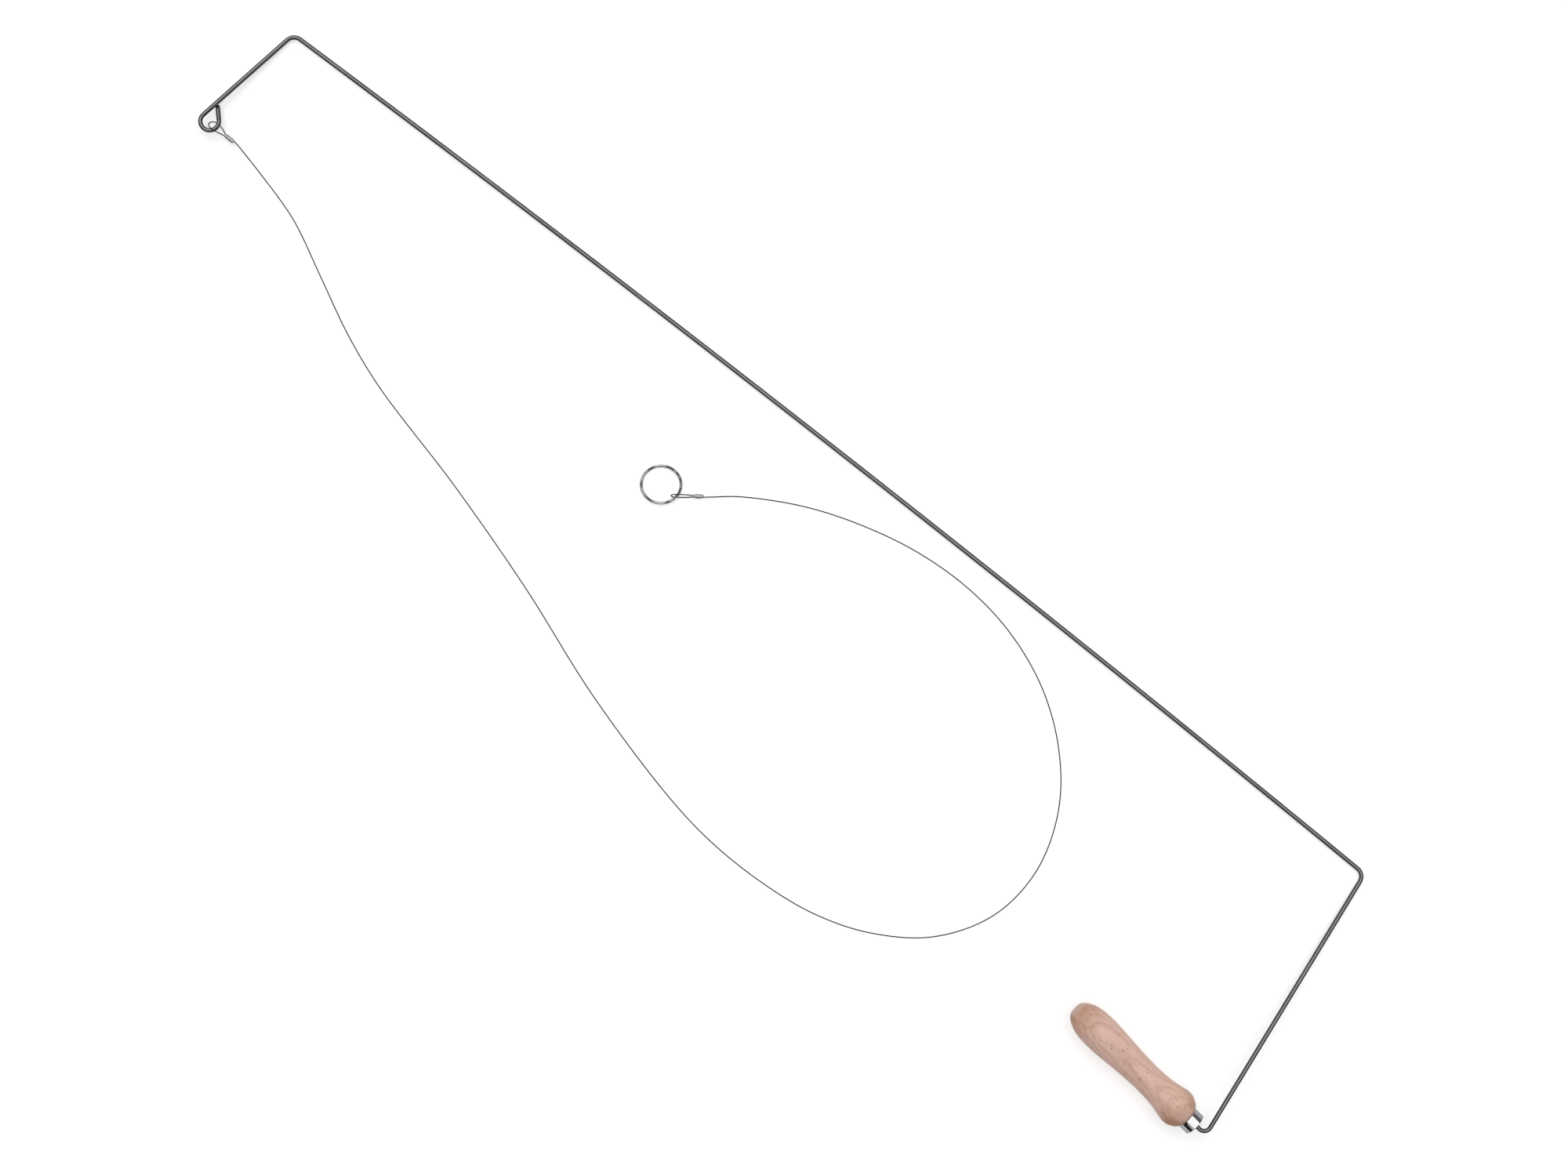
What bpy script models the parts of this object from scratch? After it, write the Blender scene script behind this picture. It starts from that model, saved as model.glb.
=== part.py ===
"""Clay-cutting bow: a bent steel rod set in a turned wooden handle, with a crimped
cutting wire looped through the rod's eye and a split ring on the wire's far end.

Row frame: +X along the long rod towards the handle, +Z up, and the origin in the
middle of the bow's box, on the surface that the bow lies on. Metres throughout.
"""

import math

import bmesh
import bpy
from mathutils import Matrix, Vector

GAP = 0.0003                          # clearance kept between touching pieces
MERGE = 0.00001                       # merge distance for turned profiles

# The bow's plane: corner A joins the short arm to the long rod, corner B joins
# the long rod to the long arm. In that plane u runs from A to B, and v away from the arms.
CORNER_A = Vector((-0.5243, 0.1172, 0.0022))
BOW_TILT = math.radians(3.28)         # the handle's thickness lifts the arms' side
ROD_RADIUS = 0.00175
ROD_ROUNDNESS = 4                     # curve bevel resolutions
WIRE_ROUNDNESS = 2
LONG_ROD = 1.0402                     # corner to corner
ROD_BULGE = 0.0064                    # how far the long rod bows out from the straight
LONG_ROD_STEPS = 14
BEND_STEPS = 8
SHORT_ARM_LEAN = math.radians(9.25)   # both arms lean away from each other
LONG_ARM_LEAN = math.radians(5.90)
LONG_ARM = 0.2325                     # corner B to the bend at the handle
CORNER_RADIUS = 0.0078
HANDLE_BEND_RADIUS = 0.0055
TANG_TURN = math.radians(6.1)         # the handle's axis against the long rod

# The eye: the rod's end, turned round a bowl and back under the short arm.
EYE_FOOT = 0.0920                     # corner A to the bowl's middle, along the short arm
EYE_RADIUS = 0.0070
EYE_SWEEP = math.radians(236)
EYE_LEG = 0.0122                      # straight end of the rod, after the bowl
EYE_DIP = 0.0038                      # how far that end ducks under the short arm
EYE_STEPS = 20
LEG_STEPS = 5
EYE_DIP_START = math.radians(190)
EYE_DIP_EASE = 0.3                    # share of the dip's run in which it steepens

# The handle, measured along its own axis from the butt's flat face.
HANDLE_LENGTH = 0.1172                # butt face to the shoulder that the ferrule meets
SPIGOT_LENGTH = 0.0079
SPIGOT_RADIUS = 0.00795
FERRULE_LENGTH = 0.0085
FERRULE_RADIUS = 0.00885
FERRULE_WALL = 0.0006
FERRULE_LIP = 0.0004
TANG_DEPTH = 0.0450                   # rod inside the wood
BEND_TO_FERRULE = 0.0115              # the handle bend's corner to the ferrule's front rim
TURNED_STEPS = 40

# The cutting wire, its sleeves and its ring.
WIRE_RADIUS = 0.00045
SLEEVE_RADIUS = 0.0016
STRAND_PITCH = 0.0011                 # between the two strands inside a sleeve
STRAND_GAP = 0.0003
SLEEVE_SIDES = 24
BORE_SIDES = 16
EYE_SLEEVE_LENGTH = 0.0076
RING_SLEEVE_LENGTH = 0.0060
RING_SEMI_AXES = (0.01525, 0.01425)   # middle of the flat wire that the ring is wound from
RING_WIRE_WIDTH = 0.0019
RING_WIRE_HEIGHT = 0.0009
RING_COIL_GAP = 0.0001
RING_STEPS = 92


def remove_everything():
    for obj in list(bpy.data.objects):
        bpy.data.objects.remove(obj)


def new_collection(name):
    collection = bpy.data.collections.new(name)
    bpy.context.scene.collection.children.link(collection)
    return collection


def new_material(name, colour, roughness, metallic):
    material = bpy.data.materials.new(name)
    material.use_nodes = True
    shader = material.node_tree.nodes["Principled BSDF"]
    shader.inputs["Base Color"].default_value = (*colour, 1.0)
    shader.inputs["Roughness"].default_value = roughness
    shader.inputs["Metallic"].default_value = metallic
    return material


def new_object(name, data, collection, material=None, parent=None):
    obj = bpy.data.objects.new(name, data)
    collection.objects.link(obj)
    if material is not None:
        data.materials.append(material)
    obj.parent = parent
    return obj


def new_empty(name, collection, parent=None):
    empty = new_object(name, None, collection, parent=parent)
    empty.empty_display_size = 0.02
    return empty


def tube(name, points, radius, resolution, collection, material, parent=None):
    """A round rod or wire along the points, as a curve with closed ends."""
    curve = bpy.data.curves.new(name, "CURVE")
    curve.dimensions = "3D"
    curve.bevel_depth = radius
    curve.bevel_resolution = resolution
    curve.use_fill_caps = True
    spline = curve.splines.new("POLY")
    spline.points.add(len(points) - 1)
    for target, point in zip(spline.points, points):
        target.co = (*point, 1.0)
    return new_object(name, curve, collection, material, parent)


def turned(name, profile, steps, collection, material, parent=None):
    """A turned piece: an (radius, height) profile that runs down its outer side."""
    mesh = bpy.data.meshes.new(name)
    edges = [(i, i + 1) for i in range(len(profile) - 1)]
    mesh.from_pydata([(r, 0.0, z) for r, z in profile], edges, [])
    obj = new_object(name, mesh, collection, material, parent)
    screw = obj.modifiers.new("turn", "SCREW")
    screw.axis = "Z"
    screw.steps = steps
    screw.render_steps = steps
    screw.use_merge_vertices = True
    screw.merge_threshold = MERGE
    screw.use_smooth_shade = True
    return obj


def cut(obj, cutter):
    """Takes the cutter out of the object, and hides the cutter."""
    cutter.hide_render = True
    cutter.display_type = "WIRE"
    boolean = obj.modifiers.new("cut", "BOOLEAN")
    boolean.operation = "DIFFERENCE"
    boolean.solver = "EXACT"
    boolean.object = cutter


# The bow rod

def direction(angle):
    """A unit vector in the bow's plane, at this angle from +u."""
    return Vector((math.cos(angle), math.sin(angle), 0.0))


SHORT_ARM = direction(math.radians(-90) - SHORT_ARM_LEAN)
LONG_ARM_AXIS = direction(math.radians(-90) + LONG_ARM_LEAN)
HANDLE_AXIS = direction(-TANG_TURN)                  # from the butt to the ferrule
CORNER_B = Vector((LONG_ROD, 0.0, 0.0))
HANDLE_BEND = CORNER_B + LONG_ARM_AXIS * LONG_ARM
FERRULE_FRONT = HANDLE_BEND - HANDLE_AXIS * BEND_TO_FERRULE
INWARD = Vector((-SHORT_ARM.y, SHORT_ARM.x, 0.0))    # from the short arm towards the handle
EYE_MIDDLE = SHORT_ARM * EYE_FOOT + INWARD * EYE_RADIUS


def rounded_corner(before, corner, after, radius, steps):
    """The points of the arc that rounds the corner between two straight runs."""
    incoming = (before - corner).normalized()
    outgoing = (after - corner).normalized()
    half = incoming.angle(outgoing) / 2
    middle = corner + (incoming + outgoing).normalized() * (radius / math.sin(half))
    start = corner + incoming * (radius / math.tan(half)) - middle
    turn = math.pi - 2 * half
    axis = outgoing.cross(incoming)
    return [middle + Matrix.Rotation(turn * i / steps, 3, axis) @ start for i in range(steps + 1)]


def long_rod_points(count):
    """Points between the corners, along the long rod's slight bow."""
    points = []
    for i in range(1, count):
        t = i / count
        points.append(Vector((LONG_ROD * t, 4 * ROD_BULGE * t * (1 - t), 0.0)))
    return points


def bowl_point(angle):
    """The point of the eye's bowl this far round from where it leaves the short arm."""
    return EYE_MIDDLE - Matrix.Rotation(angle, 3, "Z") @ INWARD * EYE_RADIUS


def ducked(point, run):
    """The point, lowered for its share of the run that takes the rod's end under the arm."""
    steepening = min(run, EYE_DIP_EASE)
    lowered = steepening ** 2 / (2 * EYE_DIP_EASE) + max(0.0, run - EYE_DIP_EASE)
    return point - Vector((0.0, 0.0, EYE_DIP * lowered / (1 - EYE_DIP_EASE / 2)))


def eye_points(steps, leg_steps):
    """The bowl of the eye and the rod's straight end, which ducks under the short arm."""
    run_length = EYE_RADIUS * (EYE_SWEEP - EYE_DIP_START) + EYE_LEG
    points = []
    for i in range(steps + 1):
        angle = EYE_SWEEP * i / steps
        run = max(0.0, EYE_RADIUS * (angle - EYE_DIP_START)) / run_length
        points.append(ducked(bowl_point(angle), run))
    leg = Matrix.Rotation(EYE_SWEEP, 3, "Z") @ SHORT_ARM
    for i in range(1, leg_steps + 1):
        along = EYE_LEG * i / leg_steps
        run = (run_length - EYE_LEG + along) / run_length
        points.append(ducked(bowl_point(EYE_SWEEP) + leg * along, run))
    return points


def bow_points():
    """The rod's centreline, from the end of its tang round to its end at the eye."""
    tang_end = FERRULE_FRONT - HANDLE_AXIS * (FERRULE_LENGTH + TANG_DEPTH)
    rod = long_rod_points(LONG_ROD_STEPS)
    origin = Vector((0.0, 0.0, 0.0))
    points = [tang_end]
    points += rounded_corner(FERRULE_FRONT, HANDLE_BEND, CORNER_B, HANDLE_BEND_RADIUS, BEND_STEPS)
    points += rounded_corner(HANDLE_BEND, CORNER_B, rod[-1], CORNER_RADIUS, BEND_STEPS)
    points += reversed(rod)
    points += rounded_corner(rod[0], origin, SHORT_ARM, CORNER_RADIUS, BEND_STEPS)
    points += eye_points(EYE_STEPS, LEG_STEPS)
    return points


def make_bow_rod(collection, bow):
    steel = new_material("rod_steel", (0.17, 0.17, 0.175), 0.32, 1.0)
    return tube("bow_rod", bow_points(), ROD_RADIUS, ROD_ROUNDNESS, collection, steel, bow)


# The handle and its ferrule, turned about local Z with the butt at the origin

def handle_profile():
    """Radius and distance from the butt, from the spigot's end round the outside to the butt."""
    spigot_end = HANDLE_LENGTH + SPIGOT_LENGTH
    return [
        (0.0, spigot_end),
        (SPIGOT_RADIUS, spigot_end),
        (SPIGOT_RADIUS, HANDLE_LENGTH),
        (0.0089, HANDLE_LENGTH),
        (0.0104, 0.1162),
        (0.0119, 0.1147),
        (0.0133, 0.1125),
        (0.0144, 0.1101),
        (0.01495, 0.1078),
        (0.0151, 0.1056),
        (0.0148, 0.1029),
        (0.0142, 0.1003),
        (0.0132, 0.0957),
        (0.0124, 0.0907),
        (0.0119, 0.0857),
        (0.01155, 0.0795),
        (0.0115, 0.0735),
        (0.0117, 0.0660),
        (0.0122, 0.0570),
        (0.0129, 0.0480),
        (0.0136, 0.0395),
        (0.0141, 0.0325),
        (0.0143, 0.0260),
        (0.0142, 0.0210),
        (0.0139, 0.0168),
        (0.0132, 0.0128),
        (0.0122, 0.0092),
        (0.0107, 0.0058),
        (0.0088, 0.0027),
        (0.0070, 0.0008),
        (0.0058, 0.0),
        (0.0, 0.0),
    ]


def make_handle(collection, cutters, mount):
    wood = new_material("beech", (0.66, 0.44, 0.33), 0.5, 0.0)
    handle = turned("handle", handle_profile(), TURNED_STEPS, collection, wood, mount)
    bore_end = HANDLE_LENGTH - TANG_DEPTH - 4 * GAP
    bore_length = HANDLE_LENGTH + 2 * SPIGOT_LENGTH - bore_end
    mesh = bpy.data.meshes.new("handle_bore")
    bm = bmesh.new()
    bmesh.ops.create_cone(bm, cap_ends=True, segments=BORE_SIDES, depth=bore_length,
                          radius1=ROD_RADIUS + GAP, radius2=ROD_RADIUS + GAP)
    bm.to_mesh(mesh)
    bm.free()
    bore = new_object("handle_bore", mesh, cutters, parent=mount)
    bore.location.z = bore_end + bore_length / 2
    cut(handle, bore)
    return handle


def make_ferrule(collection, mount):
    chrome = new_material("ferrule_chrome", (0.62, 0.62, 0.63), 0.08, 1.0)
    back = HANDLE_LENGTH + GAP
    front = HANDLE_LENGTH + FERRULE_LENGTH
    inside = FERRULE_RADIUS - FERRULE_WALL
    profile = [
        (inside, back),
        (inside, front - FERRULE_LIP / 2),
        (inside + FERRULE_LIP / 2, front),
        (FERRULE_RADIUS - FERRULE_LIP, front),
        (FERRULE_RADIUS, front - FERRULE_LIP),
        (FERRULE_RADIUS, back + FERRULE_LIP),
        (FERRULE_RADIUS - FERRULE_LIP, back),
        (inside, back),
    ]
    return turned("ferrule", profile, TURNED_STEPS, collection, chrome, mount)


def make_handle_mount(collection, bow):
    """The handle's axis: an empty at the butt, with +Z towards the ferrule."""
    mount = new_empty("handle_axis", collection, bow)
    mount.location = FERRULE_FRONT - HANDLE_AXIS * (HANDLE_LENGTH + FERRULE_LENGTH)
    mount.rotation_mode = "QUATERNION"
    mount.rotation_quaternion = HANDLE_AXIS.to_track_quat("Z", "Y")
    return mount


# The cutting wire, its sleeves and the split ring, in the row frame

BOW_PLACE = Matrix.Translation(CORNER_A) @ Matrix.Rotation(-BOW_TILT, 4, "X")

# The wire's route: its tail in the eye sleeve, over and under the eye's bowl, back through
# the sleeve, round a loose loop on the bench, through the ring sleeve, under and over
# the split ring, and its other tail in the ring sleeve.
WIRE_ROUTE = [
    (-0.5104, 0.02375, 0.00306),
    (-0.5133, 0.02375, 0.00343),
    (-0.5171, 0.02375, 0.0039),
    (-0.5196, 0.0232, 0.0051),
    (-0.5231, 0.0221, 0.0091),
    (-0.5267, 0.0218, 0.0104),
    (-0.5299, 0.0223, 0.0092),
    (-0.5316, 0.024, 0.0072),
    (-0.5312, 0.0262, 0.0052),
    (-0.5291, 0.0275, 0.0042),
    (-0.5258, 0.0277, 0.0039),
    (-0.5209, 0.0265, 0.0038),
    (-0.5171, 0.02485, 0.0039),
    (-0.5133, 0.02485, 0.00343),
    (-0.5095, 0.02485, 0.00295),
    (-0.5043, 0.024, 0.0021),
    (-0.4943, 0.0216, 0.0010),
    (-0.4833, 0.0189, 0.0005),
    (-0.4383, 0.006, 0.0005),
    (-0.3948, -0.0154, 0.0005),
    (-0.3513, -0.0373, 0.0005),
    (-0.3079, -0.0541, 0.0005),
    (-0.2139, -0.0787, 0.0005),
    (-0.1228, -0.1068, 0.0005),
    (-0.0331, -0.1392, 0.0005),
    (0.0607, -0.1645, 0.0005),
    (0.1069, -0.1716, 0.0005),
    (0.1555, -0.1723, 0.0005),
    (0.2036, -0.1664, 0.0005),
    (0.2476, -0.1508, 0.0005),
    (0.2872, -0.123, 0.0005),
    (0.3127, -0.0821, 0.0005),
    (0.3174, -0.036, 0.0005),
    (0.3027, 0.0101, 0.0005),
    (0.2744, 0.0472, 0.0005),
    (0.2357, 0.0765, 0.0005),
    (0.1909, 0.0948, 0.0005),
    (0.1448, 0.1022, 0.0005),
    (0.0964, 0.1003, 0.0005),
    (0.0489, 0.09, 0.0005),
    (0.005, 0.0739, 0.0005),
    (-0.0373, 0.0501, 0.0005),
    (-0.0547, 0.0362, 0.0011),
    (-0.05977, 0.03206, 0.00165),
    (-0.06257, 0.02996, 0.00165),
    (-0.06537, 0.02786, 0.00165),
    (-0.06993, 0.02394, 0.0010),
    (-0.07614, 0.01922, 0.0005),
    (-0.07818, 0.01794, 0.0010),
    (-0.07968, 0.01781, 0.0023),
    (-0.07920, 0.01917, 0.0037),
    (-0.07606, 0.02178, 0.0043),
    (-0.07104, 0.02542, 0.0031),
    (-0.06603, 0.02874, 0.00165),
    (-0.06323, 0.03084, 0.00165),
    (-0.06003, 0.03324, 0.00165),
]
ROUTE_FINENESS = 32                    # steps of the smooth line between two route points
ROUTE_TURN = math.radians(27)          # most that the wire turns between two points
ROUTE_STRIDE = 0.050                   # most that it runs between two points
EYE_SLEEVE_MIDDLE = Vector((-0.5133, 0.0243, 0.00343))
EYE_SLEEVE_AXIS = Vector((0.992, 0.0, -0.124))
RING_SLEEVE_MIDDLE = Vector((-0.0629, 0.0304, 0.00165))
RING_SLEEVE_AXIS = Vector((0.8, 0.6, 0.0))

EYE_HINGE_SWEEP = math.radians(165)  # where on the bowl the wire's loop bears
RING_HINGE = Vector((-0.0761, 0.0205, 0.0024))
RING_MAJOR = math.radians(38.1)        # the ring is slightly oval, with its long axis this way
RING_HINGE_BEARING = math.radians(2.3)  # from the ring's middle to the wire's loop
RING_TILT = math.radians(2.75)         # the loop holds that side of the ring up
COIL_START = math.radians(-12)         # bearings of the coil's ends and of its step
STEP_START = math.radians(14)
STEP_END = math.radians(-10)
COIL_END = math.radians(27)


def between(start, end, low, high, t):
    return start.lerp(end, (t - low) / (high - low))


def spline_point(a, b, c, d, share):
    """A point between b and c on the centripetal Catmull-Rom curve through all four."""
    t0 = 0.0
    t1 = t0 + math.sqrt((b - a).length)
    t2 = t1 + math.sqrt((c - b).length)
    t3 = t2 + math.sqrt((d - c).length)
    t = t1 + (t2 - t1) * share
    ab = between(a, b, t0, t1, t)
    bc = between(b, c, t1, t2, t)
    cd = between(c, d, t2, t3, t)
    abc = between(ab, bc, t0, t2, t)
    bcd = between(bc, cd, t1, t3, t)
    return between(abc, bcd, t1, t2, t)


def smooth_line(route, fineness):
    """A dense line along one smooth curve through the route's points."""
    knots = [Vector(point) for point in route]
    knots.insert(0, knots[0] * 2 - knots[1])
    knots.append(knots[-1] * 2 - knots[-2])
    line = []
    for i in range(1, len(knots) - 2):
        for k in range(fineness):
            line.append(spline_point(*knots[i - 1:i + 3], k / fineness))
    line.append(knots[-2])
    return line


def wire_points():
    """The route's own points, and those of the smooth line that its bends need between them."""
    line = smooth_line(WIRE_ROUTE, ROUTE_FINENESS)
    points = [line[0]]
    heading = line[1] - line[0]
    for i in range(1, len(line) - 1):
        ahead = line[i + 1] - line[i - 1]
        far = (line[i] - points[-1]).length > ROUTE_STRIDE
        if i % ROUTE_FINENESS == 0 or ahead.angle(heading) > ROUTE_TURN or far:
            points.append(line[i])
            heading = ahead
    points.append(line[-1])
    return points


def make_wire_joint(collection):
    """The wire's hinge: an empty where its loop bears on the eye's bowl."""
    joint = new_empty("wire_joint", collection)
    joint.location = BOW_PLACE @ bowl_point(EYE_HINGE_SWEEP)
    return joint


def make_cutting_wire(collection, joint):
    steel = new_material("wire_steel", (0.30, 0.29, 0.28), 0.35, 1.0)
    wire = tube("cutting_wire", wire_points(), WIRE_RADIUS, WIRE_ROUNDNESS, collection, steel, joint)
    wire.location = -joint.location
    return wire


def outline(curve, points):
    """Adds a closed flat outline to a 2D curve."""
    spline = curve.splines.new("POLY")
    spline.points.add(len(points) - 1)
    for target, (x, y) in zip(spline.points, points):
        target.co = (x, y, 0.0, 1.0)
    spline.use_cyclic_u = True


def oval(half_length, radius, steps):
    """A stretched round: two half circles that straight sides join along x."""
    points = []
    for i in range(steps):
        angle = 2 * math.pi * (i + 0.5) / steps
        side = math.copysign(half_length, math.cos(angle))
        points.append((side + radius * math.cos(angle), radius * math.sin(angle)))
    return points


def make_sleeve(name, length, middle, axis, across, collection, material, joint):
    """A crimped sleeve round the wire's two strands, which lie side by side across it."""
    curve = bpy.data.curves.new(name, "CURVE")
    curve.dimensions = "2D"
    curve.fill_mode = "BOTH"
    curve.extrude = length / 2
    bore = WIRE_RADIUS + STRAND_GAP
    outline(curve, oval(0.0, SLEEVE_RADIUS, SLEEVE_SIDES))
    outline(curve, oval(STRAND_PITCH / 2, bore, BORE_SIDES))
    sleeve = new_object(name, curve, collection, material, joint)
    axis = axis.normalized()
    across = (across - axis * across.dot(axis)).normalized()
    basis = Matrix((across, axis.cross(across), axis)).transposed()
    sleeve.rotation_mode = "QUATERNION"
    sleeve.rotation_quaternion = basis.to_quaternion()
    sleeve.location = middle - joint.location
    return sleeve


def ring_place():
    """The ring's own frame: its middle, level but for the tilt that the loop gives it."""
    local_bearing = RING_HINGE_BEARING - RING_MAJOR
    share = ring_parameter(local_bearing)
    reach = Vector(ring_outline(share, 0.0)).length
    towards = Vector((math.cos(RING_HINGE_BEARING), math.sin(RING_HINGE_BEARING), 0.0))
    tilt_axis = towards.cross(Vector((0.0, 0.0, 1.0)))
    tilt = Matrix.Rotation(RING_TILT, 4, tilt_axis)
    middle = RING_HINGE - tilt.to_3x3() @ towards * reach
    return Matrix.Translation(middle) @ tilt @ Matrix.Rotation(RING_MAJOR, 4, "Z")


def ring_outline(parameter, height):
    return (RING_SEMI_AXES[0] * math.cos(parameter), RING_SEMI_AXES[1] * math.sin(parameter), height)


def ring_parameter(bearing):
    """The ellipse's parameter for a bearing from its middle, against its long axis."""
    return math.atan2(math.sin(bearing) / RING_SEMI_AXES[1], math.cos(bearing) / RING_SEMI_AXES[0])


def ring_points(steps):
    """Two turns of flat wire, clockwise: the lower one, a step up, and the upper one."""
    rise = RING_WIRE_HEIGHT + RING_COIL_GAP
    turn = 2 * math.pi
    end = COIL_END - 2 * turn
    points = []
    for i in range(steps + 1):
        bearing = COIL_START + (end - COIL_START) * i / steps
        climb = (STEP_START - turn - bearing) / (STEP_START - STEP_END)
        climb = min(1.0, max(0.0, climb))
        height = rise * (climb * climb * (3 - 2 * climb) - 0.5)
        points.append(ring_outline(bearing - RING_MAJOR, height))
    return points


def make_ring_joint(collection, wire_joint):
    """The split ring's hinge: an empty on the flat wire where the wire's loop holds it."""
    joint = new_empty("ring_joint", collection, wire_joint)
    joint.location = RING_HINGE - wire_joint.location
    return joint


def make_split_ring(collection, guides, joint):
    nickel = new_material("ring_nickel", (0.45, 0.45, 0.46), 0.18, 1.0)
    section = bpy.data.curves.new("ring_section", "CURVE")
    section.dimensions = "2D"
    half_width = RING_WIRE_WIDTH / 2
    half_height = RING_WIRE_HEIGHT / 2
    outline(section, [(-half_width, half_height), (half_width, half_height),
                      (half_width, -half_height), (-half_width, -half_height)])
    guide = new_object("ring_section", section, guides)
    guide.hide_render = True
    guide.display_type = "WIRE"
    curve = bpy.data.curves.new("split_ring", "CURVE")
    curve.dimensions = "3D"
    curve.twist_mode = "Z_UP"
    curve.bevel_mode = "OBJECT"
    curve.bevel_object = guide
    curve.use_fill_caps = True
    points = ring_points(RING_STEPS)
    spline = curve.splines.new("POLY")
    spline.points.add(len(points) - 1)
    for target, point in zip(spline.points, points):
        target.co = (*point, 1.0)
    ring = new_object("split_ring", curve, collection, nickel, joint)
    place = Matrix.Translation(-RING_HINGE) @ ring_place()
    ring.location = place.to_translation()
    ring.rotation_mode = "QUATERNION"
    ring.rotation_quaternion = place.to_quaternion()
    return ring


def build():
    remove_everything()
    parts = new_collection("clay_cutting_bow")
    guides = new_collection("cutters_and_guides")
    bow = new_empty("bow", parts)
    bow.location = CORNER_A
    bow.rotation_euler.x = -BOW_TILT
    make_bow_rod(parts, bow)
    handle_axis = make_handle_mount(parts, bow)
    make_handle(parts, guides, handle_axis)
    make_ferrule(parts, handle_axis)
    wire_joint = make_wire_joint(parts)
    make_cutting_wire(parts, wire_joint)
    aluminium = new_material("sleeve_aluminium", (0.78, 0.78, 0.77), 0.35, 1.0)
    make_sleeve("eye_sleeve", EYE_SLEEVE_LENGTH, EYE_SLEEVE_MIDDLE, EYE_SLEEVE_AXIS,
                Vector((0.0, 1.0, 0.0)), parts, aluminium, wire_joint)
    make_sleeve("ring_sleeve", RING_SLEEVE_LENGTH, RING_SLEEVE_MIDDLE, RING_SLEEVE_AXIS,
                Vector((-0.6, 0.8, 0.0)), parts, aluminium, wire_joint)
    ring_joint = make_ring_joint(parts, wire_joint)
    make_split_ring(parts, guides, ring_joint)


build()
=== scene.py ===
import math

import bpy
from mathutils import Matrix, Vector


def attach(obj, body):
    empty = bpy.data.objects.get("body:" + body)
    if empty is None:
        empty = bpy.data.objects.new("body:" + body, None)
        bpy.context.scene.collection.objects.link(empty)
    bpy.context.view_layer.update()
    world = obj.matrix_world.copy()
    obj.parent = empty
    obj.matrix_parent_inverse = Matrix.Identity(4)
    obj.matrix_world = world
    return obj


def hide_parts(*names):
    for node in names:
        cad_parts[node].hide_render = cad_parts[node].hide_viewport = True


# The looks of a clay-cutting bow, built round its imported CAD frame: a steel rod bent to
# three sides and an eye, its turned beech handle and chromed ferrule, and a stranded
# cutting wire with a crimped sleeve at each end and a split ring at the far one.

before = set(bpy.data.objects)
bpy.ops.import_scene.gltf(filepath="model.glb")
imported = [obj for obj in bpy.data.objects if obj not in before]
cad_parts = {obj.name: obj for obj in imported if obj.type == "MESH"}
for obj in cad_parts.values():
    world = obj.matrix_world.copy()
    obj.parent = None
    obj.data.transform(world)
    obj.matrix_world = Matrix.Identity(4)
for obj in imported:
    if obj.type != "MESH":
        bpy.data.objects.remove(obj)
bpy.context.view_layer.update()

UP = Vector((0.0, 0.0, 1.0))

# The bow, in its own plane: x runs along the long rod, and the arms point to -y.
CORNER_A = Vector((-0.5243, 0.1172, 0.0022))
BOW_TILT = math.radians(3.28)          # the handle's thickness lifts the arms' side
ROD_RADIUS = 0.00175
LONG_ROD = 1.0402                      # corner to corner
ROD_BULGE = 0.0064                     # how far the long rod bows out from the straight
SHORT_ARM_LEAN = math.radians(9.25)    # both arms lean away from each other
LONG_ARM_LEAN = math.radians(5.90)
LONG_ARM = 0.2325                      # corner B to the bend at the handle
CORNER_RADIUS = 0.0078
HANDLE_BEND_RADIUS = 0.0055
TANG_TURN = math.radians(6.1)          # the handle's axis against the long rod
EYE_FOOT = 0.0920                      # corner A to the bowl's middle, along the short arm
EYE_RADIUS = 0.0070
EYE_SWEEP = math.radians(236)
EYE_LEG = 0.0122                       # straight end of the rod, after the bowl
EYE_DIP = 0.0038                       # how far that end ducks under the short arm
EYE_DIP_START = math.radians(190)
EYE_DIP_EASE = 0.3                     # share of the dip's run in which it steepens
ROD_SIDES = 28
ROD_OVALITY = 0.045                    # flattening of the rod where it is bent tightest
ROD_END_CHAMFER = 0.00035
ROD_END_SHARE = 0.78                   # of the rod's radius, at its two end faces
LONG_ROD_STEPS = 60
BEND_STEPS = 20
BOWL_STEPS = 80
LEG_STEPS = 14
TANG_STEPS = 6
LONG_ARM_STEPS = 20
SHORT_ARM_STEPS = 10

# The handle and ferrule, along the handle's axis from the butt.
HANDLE_LENGTH = 0.1172                 # butt face to the shoulder that the ferrule meets
SPIGOT_LENGTH = 0.0079
SPIGOT_RADIUS = 0.00795
SPIGOT_CHAMFER = 0.0003
TANG_DEPTH = 0.0450                    # rod inside the wood
TANG_CLEARANCE = 0.00006               # between the tang and the bore's wall
TANG_END_CLEARANCE = 0.0008            # from the tang's end to the bore's end
SHOULDER_STEP = 0.0001                 # from the shoulder to the spigot's foot
FERRULE_LENGTH = 0.0085
FERRULE_RADIUS = 0.00885
FERRULE_WALL = 0.0006
FERRULE_SEAT = 0.00012                 # gap between the ferrule and the shoulder
BEAD_SWELL = 0.00012                   # the front rim's bead, past half the wall
BEAD_NECK = 2.4                        # the bead's length, in its own radii
BEAD_STEPS = 6                         # for each quarter of the bead
FERRULE_BACK_EDGE = ((0.0, 0.0005), (0.00015, 0.0002), (0.00035, 0.0))   # (in, forward)
BEND_TO_FERRULE = 0.0115               # the handle bend's corner to the ferrule's front rim
TURNED_SIDES = 128
OUTLINE_FINENESS = 5                   # points of the handle's smooth outline for each given one

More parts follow.
